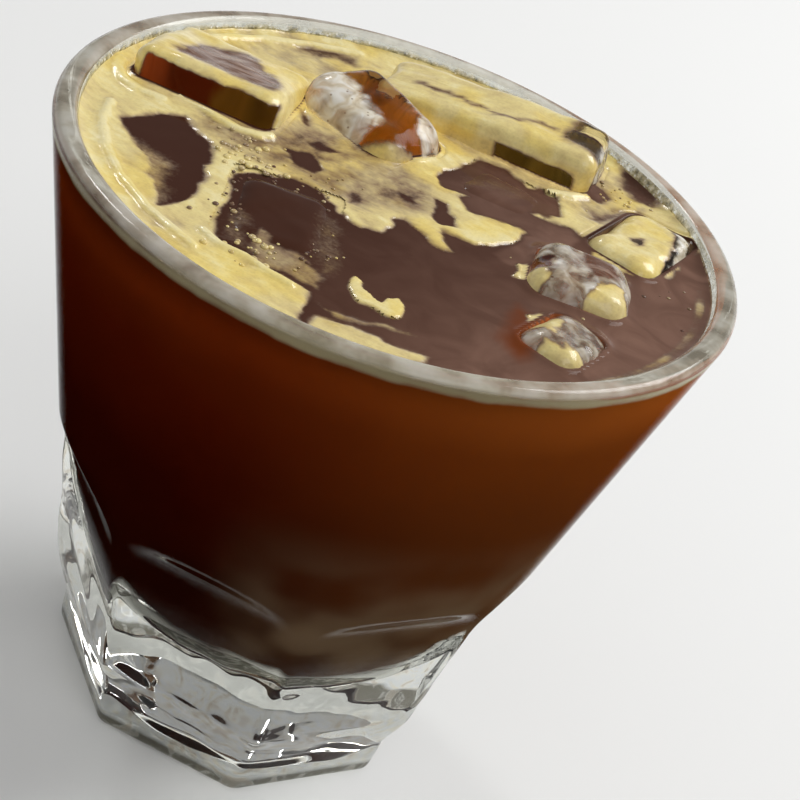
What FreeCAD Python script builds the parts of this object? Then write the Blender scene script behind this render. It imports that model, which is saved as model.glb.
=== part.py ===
"""A glass of iced espresso: a tapered tumbler with eight arched panels, filled nearly to its rim
with coffee, a thin broken layer of crema and the lumps of ice that reach the surface.

Frame: millimetres, +Z up, origin in the middle of the tumbler's foot. A panel faces +X.
The tumbler is one piece of pressed glass: a round cone above, an eight-sided foot below.
The coffee fills the hollow up to its level and is cut round the ice; the crema lies on it.
"""

import math
import os

import FreeCAD
import Part
import Sketcher

# Driving dimensions, in millimetres and degrees.
DIMS = {
    "glass_height": 84.0,
    "rim_radius": 43.25,  # outside of the round wall at the rim, before the lip is rounded
    "body_draft": 11.35,  # lean of the round wall's outside
    "rim_wall": 2.85,
    "lip_round": 1.1,
    "hollow_draft": 14.3,  # lean of the hollow's wall, so the glass thickens downwards
    "base_thickness": 16.5,  # glass under the hollow
    "floor_round": 22.0,  # where the hollow's wall turns into its floor
    "panel_count": 8,
    "panel_inset": 1.25,  # flat to round wall, carried down, at the top of the bevel
    "panel_draft": 7.37,  # lean of a flat
    "bevel_top": 14.0,  # below this height the panels lean in faster, down to the foot line
    "foot_line": 6.7,
    "foot_inset": 2.05,  # foot line to round wall, carried down
    "foot_draft": 3.5,  # lean of the foot below its line
    "arch_start": 33.0,  # height where a flat begins to curve out to the round wall
    "arch_radius": 17.0,
    "arch_end": 60.0,  # lean at which the curve has left the wall
    "heel_round": 1.5,
    "punt_radius": 17.0,  # shallow hollow under the foot
    "punt_depth": 1.0,
    "level_drop": 2.4,  # coffee's level below the rim
    "crema_thickness": 0.6,
    "ice_gap": 0.5,  # ice to glass
}

# The ice that reaches the surface. Middle, length, width, depth, rise of the top above the level
# and edge rounding are shares of the surface's radius; then turn, tip and lean in degrees.
ICE = {
    "ice_left": (-0.735, 0.175, 0.50, 0.43, 0.44, 0.080, 0.050, 3.0, 0.0, -8.0),
    "ice_back": (0.09, 0.68, 0.80, 0.31, 0.42, 0.115, 0.045, 1.0, -4.5, 5.0),
    "ice_middle_left": (-0.25, 0.335, 0.46, 0.34, 0.44, 0.100, 0.085, -28.0, 6.0, 2.0),
    "ice_right": (0.605, -0.09, 0.32, 0.34, 0.40, 0.065, 0.070, 10.0, 5.0, -4.0),
    "ice_right_back": (0.72, 0.34, 0.28, 0.43, 0.38, 0.040, 0.070, -14.0, 3.0, 0.0),
    "ice_right_front": (0.65, -0.45, 0.22, 0.29, 0.32, 0.040, 0.060, -16.0, 5.0, -5.0),
    "ice_front": (-0.225, -0.475, 0.38, 0.48, 0.42, 0.018, 0.050, 14.0, 0.0, 1.0),
    "ice_middle": (0.25, 0.28, 0.36, 0.33, 0.42, 0.018, 0.060, -6.0, 1.0, 1.0),
}
ICE_SIZES = ("x", "y", "long", "wide", "deep", "rise", "round", "turn", "tip", "lean")

# Coffee left bare by the crema, as ovals in shares of the surface's radius:
# middle, half length, half width, then turn in degrees.
BARE = {
    "bare_front": (0.30, -0.50, 0.40, 0.29, -28.0),
    "bare_right": (0.83, -0.29, 0.37, 0.15, 70.0),
    "bare_left": (-0.62, -0.38, 0.26, 0.15, -62.0),
}
BARE_SIZES = ("x", "y", "half_long", "half_wide", "turn")

doc = FreeCAD.newDocument("iced_espresso")


def fill_sheet():
    """Writes every driving dimension into the spreadsheet, one named cell each."""
    sheet = doc.addObject("Spreadsheet::Sheet", "dims")
    values = dict(DIMS)
    for table, names in ((ICE, ICE_SIZES), (BARE, BARE_SIZES)):
        for piece, sizes in table.items():
            values.update({f"{piece}_{name}": size for name, size in zip(names, sizes)})
    for row, (name, value) in enumerate(values.items(), start=1):
        sheet.set(f"A{row}", name)
        sheet.set(f"B{row}", str(value))
        sheet.setAlias(f"B{row}", name)
    doc.recompute()
    return sheet


sheet = fill_sheet()


def dim(name):
    """A driving dimension as the sheet holds it."""
    return float(sheet.get(name))


# Sizes that follow from the driving ones, written as expressions on the sheet.
BODY_FOOT_R = "(dims.rim_radius - dims.glass_height * tan(dims.body_draft * 1deg))"
HOLLOW_RIM_R = "(dims.rim_radius - dims.rim_wall)"
LEVEL = "(dims.glass_height - dims.level_drop)"
SURFACE_R = f"({HOLLOW_RIM_R} - dims.level_drop * tan(dims.hollow_draft * 1deg))"


def body_r(height):
    """Radius of the round wall's outside at a height."""
    return f"({BODY_FOOT_R} + ({height}) * tan(dims.body_draft * 1deg))"


def hollow_r(height, inset="0"):
    """Radius of the hollow at a height, less an inset."""
    return (
        f"({HOLLOW_RIM_R} - (dims.glass_height - ({height})) * tan(dims.hollow_draft * 1deg)"
        f" - ({inset}))"
    )


def value_of(expression):
    """The number that an expression on the sheet comes to."""
    value = sheet.evalExpression(expression)
    return float(getattr(value, "Value", value))


def origin_item(body, role):
    """One of a body's own origin planes or axes."""
    return next(item for item in body.Origin.OriginFeatures if item.Role == role)


def new_body(name):
    body = doc.addObject("PartDesign::Body", name)
    body.Label = name
    doc.recompute()
    return body


def draw_profile(body, name, corners, rounds=None):
    """A closed sketch on the body's XZ plane. Each corner is a pair of expressions, all measured
    from the axis and the foot. rounds maps the number of a side to (radius, bulge), which makes
    that side an arc: bulge +1 bends it to the left of its direction, -1 to the right."""
    sketch = body.newObject("Sketcher::SketchObject", name)
    sketch.AttachmentSupport = (origin_item(body, "XZ_Plane"), [""])
    sketch.MapMode = "FlatFace"
    rounds = rounds or {}
    points = [FreeCAD.Vector(value_of(x), value_of(z), 0) for x, z in corners]
    count = len(points)
    for i in range(count):
        start, end = points[i], points[(i + 1) % count]
        if i in rounds:
            radius, bulge = value_of(rounds[i][0]), rounds[i][1]
            along = end - start
            side = FreeCAD.Vector(-along.y, along.x, 0).normalize()
            sagitta = radius - math.sqrt(radius**2 - (along.Length / 2) ** 2)
            middle = (start + end) / 2 + side * sagitta * bulge
            sketch.addGeometry(Part.Arc(start, middle, end), False)
        else:
            sketch.addGeometry(Part.LineSegment(start, end), False)
    starts_at = {}
    for i in range(count):
        flipped = sketch.Geometry[i].StartPoint.distanceToPoint(points[i]) > 1e-6
        starts_at[i] = (2, 1) if flipped else (1, 2)
    for i in range(count):
        j = (i + 1) % count
        sketch.addConstraint(
            Sketcher.Constraint("Coincident", i, starts_at[i][1], j, starts_at[j][0])
        )
    for i, (x, z) in enumerate(corners):
        for kind, text, size in (("DistanceX", x, points[i].x), ("DistanceY", z, points[i].y)):
            number = sketch.addConstraint(
                Sketcher.Constraint(kind, -1, 1, i, starts_at[i][0], size)
            )
            sketch.setExpression(f"Constraints[{number}]", text)
    for i, (radius, _) in rounds.items():
        number = sketch.addConstraint(Sketcher.Constraint("Radius", i, value_of(radius)))
        sketch.setExpression(f"Constraints[{number}]", radius)
    doc.recompute()
    return sketch


def spin(body, kind, name, sketch):
    """A full turn of a sketch about the body's Z axis, as a solid or as a groove."""
    feature = body.newObject(f"PartDesign::{kind}", name)
    feature.Profile = sketch
    feature.ReferenceAxis = (origin_item(body, "Z_Axis"), [""])
    feature.Angle = 360
    doc.recompute()
    return feature


def hollow_corners(top, inset="0"):
    """Outline of the hollow up to a height: floor, rounded corner, wall. The corner's arc touches
    the floor and the wall, so its ends follow from its radius and the wall's lean."""
    floor = f"(dims.base_thickness + ({inset}))"
    lean = "(dims.hollow_draft * 1deg)"
    half_turn = "(45deg - dims.hollow_draft * 0.5deg)"
    reach = f"(dims.floor_round * tan({half_turn}))"
    corner_x = hollow_r(floor, inset)
    return [
        ("0", floor),
        (f"{corner_x} - {reach}", floor),
        (f"{corner_x} + {reach} * sin({lean})", f"{floor} + {reach} * cos({lean})"),
        (hollow_r(top, inset), top),
        ("0", top),
    ]


HOLLOW_ROUNDS = {1: ("dims.floor_round", -1)}


def panel_corners():
    """What one panel takes off the wall, seen along the panel: foot, bevel, flat, and the curve
    that carries the flat out through the round wall in an arch."""
    flat_start = f"({body_r('dims.bevel_top')} - dims.panel_inset)"
    rise = "(dims.arch_start - dims.bevel_top)"
    flat_end = f"({flat_start} + {rise} * tan(dims.panel_draft * 1deg))"
    start = "(dims.panel_draft * 1deg)"
    end = "(dims.arch_end * 1deg)"
    curve_x = f"({flat_end} + dims.arch_radius * (cos({start}) - cos({end})))"
    curve_z = f"(dims.arch_start + dims.arch_radius * (sin({end}) - sin({start})))"
    below = "(0 - dims.foot_line)"
    foot_line_x = f"({body_r('dims.foot_line')} - dims.foot_inset)"
    foot_x = f"({foot_line_x} - 2 * dims.foot_line * tan(dims.foot_draft * 1deg))"
    outside = "(dims.rim_radius * 1.2)"
    return [
        (foot_x, below),
        (foot_line_x, "dims.foot_line"),
        (flat_start, "dims.bevel_top"),
        (flat_end, "dims.arch_start"),
        (curve_x, curve_z),
        (outside, curve_z),
        (outside, below),
    ]


PANEL_ROUNDS = {3: ("dims.arch_radius", -1)}


def circles_at(shape, height, radius):
    """Names of the round edges about the axis at a height and a radius."""
    names = []
    for number, edge in enumerate(shape.Edges, start=1):
        if edge.Degenerated or not isinstance(edge.Curve, Part.Circle):
            continue
        circle = edge.Curve
        if abs(circle.Center.z - height) < 1e-4 and abs(circle.Radius - radius) < 1e-3:
            names.append(f"Edge{number}")
    return names


def foot_edges(shape, lowest_radius):
    """Names of the straight edges round the foot."""
    names = []
    for number, edge in enumerate(shape.Edges, start=1):
        low = all(abs(v.Point.z) < 1e-4 for v in edge.Vertexes)
        middle = edge.BoundBox.Center
        if low and edge.Length > 1 and math.hypot(middle.x, middle.y) > lowest_radius:
            names.append(f"Edge{number}")
    return names


def round_edges(body, base, name, edges, radius):
    fillet = body.newObject("PartDesign::Fillet", name)
    fillet.Base = (base, edges)
    fillet.setExpression("Radius", radius)
    doc.recompute()
    return fillet


def build_tumbler():
    """The glass: turned cone, eight panels, hollow, punt, rounded heel and lip."""
    body = new_body("tumbler")
    spring = "dims.arch_start"
    outline = draw_profile(
        body,
        "tumbler_outline",
        [
            ("0", "0"),
            (body_r(spring), "0"),
            (body_r(spring), spring),
            ("dims.rim_radius", "dims.glass_height"),
            ("0", "dims.glass_height"),
        ],
    )
    spin(body, "Revolution", "tumbler_blank", outline)
    panel = body.newObject("PartDesign::Pocket", "panel")
    panel.Profile = draw_profile(body, "panel_outline", panel_corners(), PANEL_ROUNDS)
    panel.Type = 1
    panel.Midplane = True
    doc.recompute()
    pattern = body.newObject("PartDesign::PolarPattern", "panels")
    pattern.Originals = [panel]
    pattern.Axis = (origin_item(body, "Z_Axis"), [""])
    pattern.Angle = 360
    pattern.setExpression("Occurrences", "dims.panel_count")
    body.Tip = pattern
    doc.recompute()
    hollow = draw_profile(
        body, "hollow_outline", hollow_corners("dims.glass_height"), HOLLOW_ROUNDS
    )
    spin(body, "Groove", "hollow", hollow)
    punt_ball = "((dims.punt_radius^2 / dims.punt_depth + dims.punt_depth) / 2)"
    punt = draw_profile(
        body,
        "punt_outline",
        [("0", "0"), ("dims.punt_radius", "0"), ("0", "dims.punt_depth")],
        {1: (punt_ball, -1)},
    )
    cut = spin(body, "Groove", "punt", punt)
    rim_circles = circles_at(cut.Shape, dim("glass_height"), dim("rim_radius"))
    rim_circles += circles_at(cut.Shape, dim("glass_height"), value_of(HOLLOW_RIM_R))
    lip = round_edges(body, cut, "lip", rim_circles, "dims.lip_round")
    heel = foot_edges(lip.Shape, dim("punt_radius") + 1)
    round_edges(body, lip, "heel", heel, "dims.heel_round")
    return body


def turned_solid(name, corners, rounds=None):
    """A solid turned from one outline."""
    body = new_body(name)
    outline = draw_profile(body, f"{name}_outline", corners, rounds)
    spin(body, "Revolution", f"{name}_turned", outline)
    return body


def placed(item, x, y, z, turn, tip="0", lean="0"):
    """Ties an item's placement to sheet expressions: position, then turns about Z, Y and X."""
    angles = "; ".join(f"({angle}) * 1deg" for angle in (turn, tip, lean))
    item.setExpression(
        "Placement", f"placement(vector({x}; {y}; {z}); rotation({angles}))"
    )
    doc.recompute()


def boolean(kind, name, first, second):
    result = doc.addObject(f"Part::{kind}", name)
    result.Label = name
    result.Base = first
    result.Tool = second
    doc.recompute()
    return result


def joined(name, items):
    if len(items) == 1:
        return items[0]
    result = doc.addObject("Part::MultiFuse", name)
    result.Shapes = items
    doc.recompute()
    return result


def build_ice(name, room, earlier):
    """One lump: a block with melted edges, kept clear of the glass. Where it meets an earlier
    lump, the two lie face to face."""
    body = new_body(f"{name}_block")
    box = body.newObject("PartDesign::AdditiveBox", f"{name}_box")
    spans = (("Length", "long", "x"), ("Width", "wide", "y"), ("Height", "deep", "z"))
    for side, size, axis in spans:
        span = f"{SURFACE_R} * dims.{name}_{size}"
        box.setExpression(side, span)
        box.setExpression(f"Placement.Base.{axis}", f"-0.5 * {span}")
    doc.recompute()
    edges = [f"Edge{number}" for number in range(1, 13)]
    round_edges(body, box, f"{name}_melted", edges, f"{SURFACE_R} * dims.{name}_round")
    placed(
        body,
        f"{SURFACE_R} * dims.{name}_x",
        f"{SURFACE_R} * dims.{name}_y",
        f"{LEVEL} + {SURFACE_R} * (dims.{name}_rise - 0.5 * dims.{name}_deep)",
        f"dims.{name}_turn",
        f"dims.{name}_tip",
        f"dims.{name}_lean",
    )
    if not earlier:
        return boolean("Common", name, body, room)
    in_room = boolean("Common", f"{name}_in_room", body, room)
    return boolean("Cut", name, in_room, joined(f"{name}_neighbours", earlier))


def build_bare(name):
    """The space above one oval of bare coffee."""
    oval = doc.addObject("Part::Ellipse", f"{name}_oval")
    oval.setExpression("MajorRadius", f"{SURFACE_R} * dims.{name}_half_long")
    oval.setExpression("MinorRadius", f"{SURFACE_R} * dims.{name}_half_wide")
    placed(
        oval,
        f"{SURFACE_R} * dims.{name}_x",
        f"{SURFACE_R} * dims.{name}_y",
        f"{LEVEL} - dims.crema_thickness",
        f"dims.{name}_turn",
    )
    space = doc.addObject("Part::Extrusion", name)
    space.Base = oval
    space.Dir = FreeCAD.Vector(0, 0, 1)
    space.Solid = True
    space.setExpression("LengthFwd", "3 * dims.crema_thickness")
    doc.recompute()
    return space


tumbler = build_tumbler()
room = turned_solid(
    "ice_room", hollow_corners("(dims.glass_height * 1.3)", "dims.ice_gap"), HOLLOW_ROUNDS
)
ice = []
for name in ICE:
    ice.append(build_ice(name, room, list(ice)))
all_ice = joined("all_ice", ice)
fill = turned_solid("fill", hollow_corners(LEVEL), HOLLOW_ROUNDS)
coffee = boolean("Cut", "coffee", fill, all_ice)
crema_top = f"({LEVEL} + dims.crema_thickness)"
layer = turned_solid(
    "layer",
    [("0", LEVEL), (hollow_r(LEVEL), LEVEL), (hollow_r(crema_top), crema_top), ("0", crema_top)],
)
bare = joined("bare", [build_bare(name) for name in BARE])
crema = boolean("Cut", "crema", boolean("Cut", "broken_layer", layer, bare), all_ice)

doc.recompute()
for item in doc.Objects:
    if "Invalid" in item.State or "Error" in item.State:
        raise RuntimeError(f"{item.Name} did not build: {item.State}")

NODES = [tumbler, coffee, crema] + ice
for node in NODES:
    if node.Shape.isNull() or not node.Shape.isValid():
        raise RuntimeError(f"{node.Label} has no valid shape")

os.makedirs("parts", exist_ok=True)
for node in NODES:
    node.Shape.exportStep(f"parts/{node.Label}.step")
    print(f"{node.Label}: {len(node.Shape.Solids)} solid, {node.Shape.Volume / 1000:.1f} cm3")
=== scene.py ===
"""A glass of iced espresso: the tumbler, the coffee, its crema and the ice, on a pale floor."""

import math

import bpy
import numpy as np
from mathutils import Matrix, Vector


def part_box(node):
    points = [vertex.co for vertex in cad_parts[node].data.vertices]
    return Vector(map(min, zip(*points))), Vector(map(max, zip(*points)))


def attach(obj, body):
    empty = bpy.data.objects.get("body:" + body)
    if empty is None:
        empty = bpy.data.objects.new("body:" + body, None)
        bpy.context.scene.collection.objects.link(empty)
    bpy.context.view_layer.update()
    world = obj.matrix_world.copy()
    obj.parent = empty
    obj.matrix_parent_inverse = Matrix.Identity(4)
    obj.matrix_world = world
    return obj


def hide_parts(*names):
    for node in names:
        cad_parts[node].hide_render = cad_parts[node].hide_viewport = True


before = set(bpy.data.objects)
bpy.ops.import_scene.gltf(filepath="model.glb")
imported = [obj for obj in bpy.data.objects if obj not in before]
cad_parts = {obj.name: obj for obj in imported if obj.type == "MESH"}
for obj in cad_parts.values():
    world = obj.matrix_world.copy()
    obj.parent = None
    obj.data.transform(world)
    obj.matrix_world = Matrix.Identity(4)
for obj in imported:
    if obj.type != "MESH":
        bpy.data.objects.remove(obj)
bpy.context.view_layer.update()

MM = 0.001

# ---- sizes, in millimetres

RIM_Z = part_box("tumbler")[1].z / MM
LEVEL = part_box("coffee")[1].z / MM
FLOOR_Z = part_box("coffee")[0].z / MM
LIP_CUT = 0.24  # what rounding the lip takes off the outside wall's radius
WALL = 2.85
OUTER_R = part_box("tumbler")[1].x / MM + LIP_CUT
HOLLOW_R = OUTER_R - WALL
BODY_LEAN = math.tan(math.radians(11.35))
HOLLOW_LEAN = math.tan(math.radians(14.3))
FLOOR_ROUND = 22.0
LIP_ROUND = 1.1
HEEL_ROUND = 1.5
PUNT_R = 17.0
PUNT_DEPTH = 1.0
FOOT_RING_R = 17.3
PANEL_LINE = [(-2.0, 25.15), (6.7, 25.7), (14.0, 27.95), (33.0, 30.41)]
ARCH_R = 17.0
ARCH_START = 33.0
ARCH_END = 46.0
PANEL_SOFT = 0.8
ARCH_SOFT = 0.7
PANEL_LEAN = math.radians(7.37)
CLEAR_OF_WALL = 50  # put on a panel's distance to keep it out of the wall above the arch
CREMA_RING_R = 38.7  # a thin line of crema that follows the wall
SURFACE_R = HOLLOW_R - (RIM_Z - LEVEL) * HOLLOW_LEAN
INTO_WALL = 0.15
PRESSED_WAVE = 0.20
WALL_GAP = 0.45  # left between a lump of ice and the glass

# Lumps of ice that reach the surface. Middle, length, width, depth, rise above the level and edge
# rounding are shares of the surface's radius; then turn, tip and lean in degrees.
ICE = {
    "ice_left": (-0.705, 0.137, 0.50, 0.43, 0.44, 0.080, 0.050, 3.0, 0.0, -8.0),
    "ice_back": (0.09, 0.66, 0.80, 0.31, 0.42, 0.115, 0.045, 1.0, -4.5, 5.0),
    "ice_middle_left": (-0.25, 0.335, 0.46, 0.34, 0.44, 0.100, 0.085, -28.0, 6.0, 2.0),
    "ice_right": (0.605, -0.09, 0.32, 0.34, 0.40, 0.065, 0.070, 10.0, 5.0, -4.0),
    "ice_right_back": (0.72, 0.34, 0.28, 0.43, 0.38, 0.040, 0.070, -14.0, 3.0, 0.0),
    "ice_right_front": (0.65, -0.45, 0.22, 0.29, 0.32, 0.040, 0.060, -16.0, 5.0, -5.0),
    "ice_front": (-0.225, -0.475, 0.38, 0.48, 0.42, 0.018, 0.050, 14.0, 0.0, 1.0),
    "ice_middle": (0.25, 0.28, 0.36, 0.33, 0.42, 0.018, 0.060, -6.0, 1.0, 1.0),
}

# Coffee that the crema leaves bare: how bare, how soft and how ragged the edge is, how much milky
# film and painted sheen lies on it, and its outline.
BARE = [
    (1.0, 0.5, 1.0, 0.12, [(-31.5, -14), (-30, -9.4), (-27.6, -7.2), (-25, -8.4), (-22, -10.6),
        (-20.2, -12.6), (-20.6, -16), (-18.6, -18.4), (-18, -25), (-19.4, -28), (-22, -25),
        (-24, -20.5), (-28, -17.4)]),
    (1.0, 0.5, 1.1, 0.22, [(-14.8, -12.6), (-12, -9.8), (-8, -9.6), (-5, -11), (-3.5, -12.5),
        (-1, -13.6), (1.7, -12.8), (2, -10), (1.2, -7.6), (2.5, -6.8), (4.5, -7.8), (6.5, -9.4),
        (8.5, -10), (9.6, -9.2), (8, -7.4), (6.6, -5.6), (9, -6), (12, -5.2), (13.6, -3), (14.8, 0),
        (15.8, 2.6), (16.6, 5.5), (17.4, 8), (20, 9.2), (22, 8.8), (24, 5), (30, 4.8), (33, 8),
        (34, 12), (33.6, 16), (36, 18.5), (42, 18), (44, 0), (42, -20), (30, -34), (14, -44), (2, -44),
        (1, -36.5), (0, -31.5), (-3, -30.6), (-9, -30.4), (-12, -29.5), (-13.6, -26), (-15.2, -20),
        (-16.8, -15.5)]),
    (1.0, 0.5, 0.8, 0.55, [(5.8, 4.6), (6.5, 6), (4, 6), (2, 7.4), (1.6, 9.5), (2.5, 11), (2.8, 13.5),
        (4, 15.5), (5, 17.4), (8, 18), (9.8, 16.8), (12, 15.8), (13.4, 17.4), (15.2, 17.2),
        (16.6, 14.5), (17.6, 12), (16.6, 10.4), (14.5, 10.4), (14.6, 9.4), (17.6, 9), (20.4, 9.4),
        (21.5, 8), (20.5, 5), (18.5, 2), (18, -1), (17.6, -4), (16, -6), (14, -5), (15, 0), (16, 3),
        (14.4, 3.8), (11, 3.2), (7.6, 2.4)]),
    (1.0, 0.35, 0.6, 0.3, [(3.6, 1.6), (5, 1.4), (5.2, -0.2), (7, -1), (8, -3.4), (6, -4.6),
        (4.6, -2.6), (4.2, -0.4)]),
    (0.95, 0.35, 0.6, 0.3, [(-14.8, -3.4), (-12.5, -2), (-10, -4.3), (-10.2, -5.6), (-12.5, -5.4)]),
    (0.9, 0.4, 0.5, 0.3, [(-13.4, 0.8), (-13, 1.9), (-10.2, 1.6), (-11, 0.6)]),
    (0.9, 0.4, 0.4, 0.3, [(-0.4, -1.2), (1, -0.9), (2, -2.2), (0.6, -2.4)]),
    (0.8, 0.5, 0.5, 0.4, [(-18, 8), (-16.4, 7), (-16, 5.4), (-17.4, 6.2)]),
    (0.8, 0.4, 0.4, 0.4, [(-8.2, 8.4), (-7, 8.4), (-6.8, 6.2), (-7.8, 6.4)]),
    (0.7, 0.5, 0.4, 0.4, [(-4.8, -6.6), (-3.6, -7.6), (-4.4, -8.4)]),
    (0.95, 0.5, 0.6, 0.5, [(19.2, 24.6), (20.6, 25), (21.6, 23), (21, 21.2), (19.4, 21.4), (18.8, 23)]),
    (0.8, 1.0, 2.0, 0.3, [(20.6, 40), (21.6, 33), (22.6, 29.5), (25, 26), (28.6, 27.4), (27.6, 31.6),
        (26, 36)]),
    (0.6, 1.0, 1.8, 0.5, [(21, 15.5), (24, 17), (27, 22.5), (26.4, 24), (23.5, 20), (21.2, 17)]),
    (0.7, 0.6, 0.4, 0.3, [(26.6, 14.4), (28, 14.8), (28.6, 13), (27.6, 11.8), (26.4, 12.2)]),
    (0.6, 0.9, 1.8, 0.4, [(-26.6, 27.4), (-23, 30), (-19, 31.4), (-18, 29.4), (-21.4, 28.6),
        (-23, 26.4), (-25.6, 26)]),
]

# Islands of crema on the bare coffee: how thick, how soft, how ragged, outline.
ISLANDS = [
    (0.95, 0.4, 0.6, [(2.6, -24.4), (4, -25), (5.4, -27.2), (6.6, -27.4), (7, -25.4), (8.4, -24.8),
        (9.8, -25.6), (9.4, -28.4), (7.6, -29.4), (5, -29.2), (3, -27)]),
    (0.75, 0.8, 1.2, [(2, -34.6), (6, -33.4), (10, -33.6), (15, -33), (14, -36), (8, -38), (2, -38.4)]),
    (0.5, 0.8, 1.4, [(1, -32.6), (5, -31.6), (9, -30.4), (12, -30), (9, -31.6), (4, -33.4)]),
    (0.9, 0.5, 0.7, [(16.4, -5), (18, -4.4), (20.6, -5.6), (21.4, -8.4), (19.4, -9.4), (17.4, -8.4)]),
    (0.85, 0.5, 0.7, [(25.4, -4.8), (27, -1.6), (29.4, -2), (30.2, -6), (29, -9.4), (26.6, -9.2),
        (25.2, -7)]),
    (0.9, 0.5, 0.7, [(21.2, -15.4), (22.6, -13.6), (24.6, -15.2), (24.8, -18), (23.6, -18.6),
        (21.8, -17.2)]),
    (0.9, 0.5, 0.7, [(24.4, -21.4), (25.4, -19.4), (27.6, -20), (29.4, -19.4), (29.6, -21.6),
        (27.6, -23.4), (25.4, -23)]),
    (0.45, 0.8, 2.2, [(-9, -24), (-4, -25), (0, -27), (0.5, -30), (-8, -30.4)]),
    (0.46, 2.0, 2.5, [(-28, -17), (-23, -18.6), (-21, -23), (-19, -28.5), (-23, -26)]),
    (0.3, 1.6, 2.5, [(-7, -12), (-3, -14), (1, -24), (0, -29), (-4, -22)]),
    (0.3, 1.4, 2.5, [(-14, -21), (-10.6, -22), (-8, -29), (-12, -29)]),
    (0.24, 2.4, 2.5, [(3, 7), (9, 9), (14, 12), (12, 15), (5, 12)]),
]

# Places where the crema is thin and mottled: how thin, outline.
THIN = [
    (0.36, [(-16, 5), (-4, 6), (4, 2), (3, -4), (-3, -9), (-12, -8.5), (-20, -9.5), (-25, -7),
        (-26, -4), (-18, -2)]),
    (0.25, [(-28, 26), (-18, 30), (-19, 22), (-22, 18), (-27, 20)]),
    (0.22, [(-2, 18), (4, 19), (16, 17), (22, 14), (23, 26), (18, 30), (2, 24)]),
    (0.3, [(14, 4), (20, 10), (24, 12), (22, 5)]),
]

# Rolls of crema that stand up and catch the light: half width, then the line they follow. Along them the
# crema is also painted pale and full, partly a painted highlight.
RIDGES = [
    (0.9, [(-39, -1.5), (-38.4, -3.6), (-36.6, -5.4), (-34, -6.2), (-31, -5.8)]),
    (0.8, [(-30, -3), (-27, -3.4), (-24, -4.2), (-21, -4.6), (-18.6, -3.8), (-17.6, -2.6)]),
    (0.9, [(-8.6, 6.6), (-6, 6.8), (-3.6, 7.4), (-1.6, 9), (-0.4, 11)]),
    (0.7, [(-36.6, 12), (-34, 18), (-30, 23.6), (-25, 28.4), (-19, 32.6)]),
    (0.8, [(15, 17.2), (17.6, 18.6), (19, 20.4)]),
    (0.7, [(-34.6, -12), (-33, -17), (-29.8, -22), (-25.4, -26.6), (-20, -30.4), (-13, -33.4)]),
    (0.6, [(-13.6, -29.6), (-11, -30.8), (-8, -30.8), (-5, -31.6), (-2, -32)]),
    (0.7, [(28.4, 9.6), (30.2, 10.6), (31, 12.8), (30.6, 15)]),
]

# ---- sums on fields

LATTICE = 128  # points a side before the noise repeats


def smoothstep(a, b, x):
    t = np.clip((x - a) / (b - a), 0, 1)
    return t * t * (3 - 2 * t)


def soft_min(a, b, k):
    """The lower of two surfaces with their meeting edge rounded over a width k."""
    h = np.clip(0.5 + 0.5 * (b - a) / k, 0, 1)
    return b * (1 - h) + a * h - k * h * (1 - h)


def value_noise(x, y, seed):
    """Smooth noise from -1 to 1 on a lattice of one unit."""
    grid = np.random.default_rng(seed).uniform(-1, 1, (LATTICE, LATTICE))
    u, v = x + 4.0 * LATTICE, y + 4.0 * LATTICE
    i, j = np.floor(u).astype(int), np.floor(v).astype(int)
    fu, fv = u - i, v - j
    fu, fv = fu * fu * (3 - 2 * fu), fv * fv * (3 - 2 * fv)
    i0, j0, i1, j1 = (n % LATTICE for n in (i, j, i + 1, j + 1))
    low = grid[i0, j0] * (1 - fu) + grid[i1, j0] * fu
    high = grid[i0, j1] * (1 - fu) + grid[i1, j1] * fu
    return low * (1 - fv) + high * fv


def clouds(x, y, size, seed, octaves=3, stretch=1.0, angle=0.0):
    """Layered noise from about -1 to 1. stretch draws it out along angle."""
    c, s = math.cos(math.radians(angle)), math.sin(math.radians(angle))
    along, across = (x * c + y * s) / (size * stretch), (y * c - x * s) / size
    total, weight, amount = 0.0, 0.0, 1.0
    for k in range(octaves):
        c, s = math.cos(0.5 * k), math.sin(0.5 * k)
        if stretch > 1:
            c, s = 1.0, 0.0
        total = total + amount * value_noise(
            (along * c - across * s) * 2**k, (along * s + across * c) * 2**k, seed + k
        )
        weight += amount
        amount *= 0.55
    return total / weight * 1.5


def line_distance(x, y, corners):
    """Distance from the nearest point of a line through some corners."""
    best = np.full(x.shape, np.inf)
    for (ax, ay), (bx, by) in zip(corners, corners[1:]):
        dx, dy = bx - ax, by - ay
        t = np.clip(((x - ax) * dx + (y - ay) * dy) / (dx * dx + dy * dy), 0, 1)
        best = np.minimum(best, np.hypot(x - ax - t * dx, y - ay - t * dy))
    return best


def depth_inside(x, y, corners):
    """Distance in from a polygon's edge, negative outside it."""
    closed = corners + corners[:1]
    inside = np.zeros(x.shape, bool)
    for (ax, ay), (bx, by) in zip(closed, closed[1:]):
        if by != ay:
            crosses = (ay > y) != (by > y)
            inside ^= crosses & (x < (bx - ax) * (y - ay) / (by - ay) + ax)
    best = line_distance(x, y, closed)
    return np.where(inside, best, -best)


def ice_frame(name):
    """A lump's middle, its half sizes, its edge rounding and its turn as a matrix."""
    x, y, long, wide, deep, rise, edge, turn, tip, lean = ICE[name]
    middle = np.array([x * SURFACE_R, y * SURFACE_R, LEVEL + SURFACE_R * (rise - deep / 2)])
    half = np.array([long, wide, deep]) * SURFACE_R / 2
    spin = (
        Matrix.Rotation(math.radians(turn), 3, "Z")
        @ Matrix.Rotation(math.radians(tip), 3, "Y")
        @ Matrix.Rotation(math.radians(lean), 3, "X")
    )
    return middle, half, edge * SURFACE_R, np.array(spin)


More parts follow.
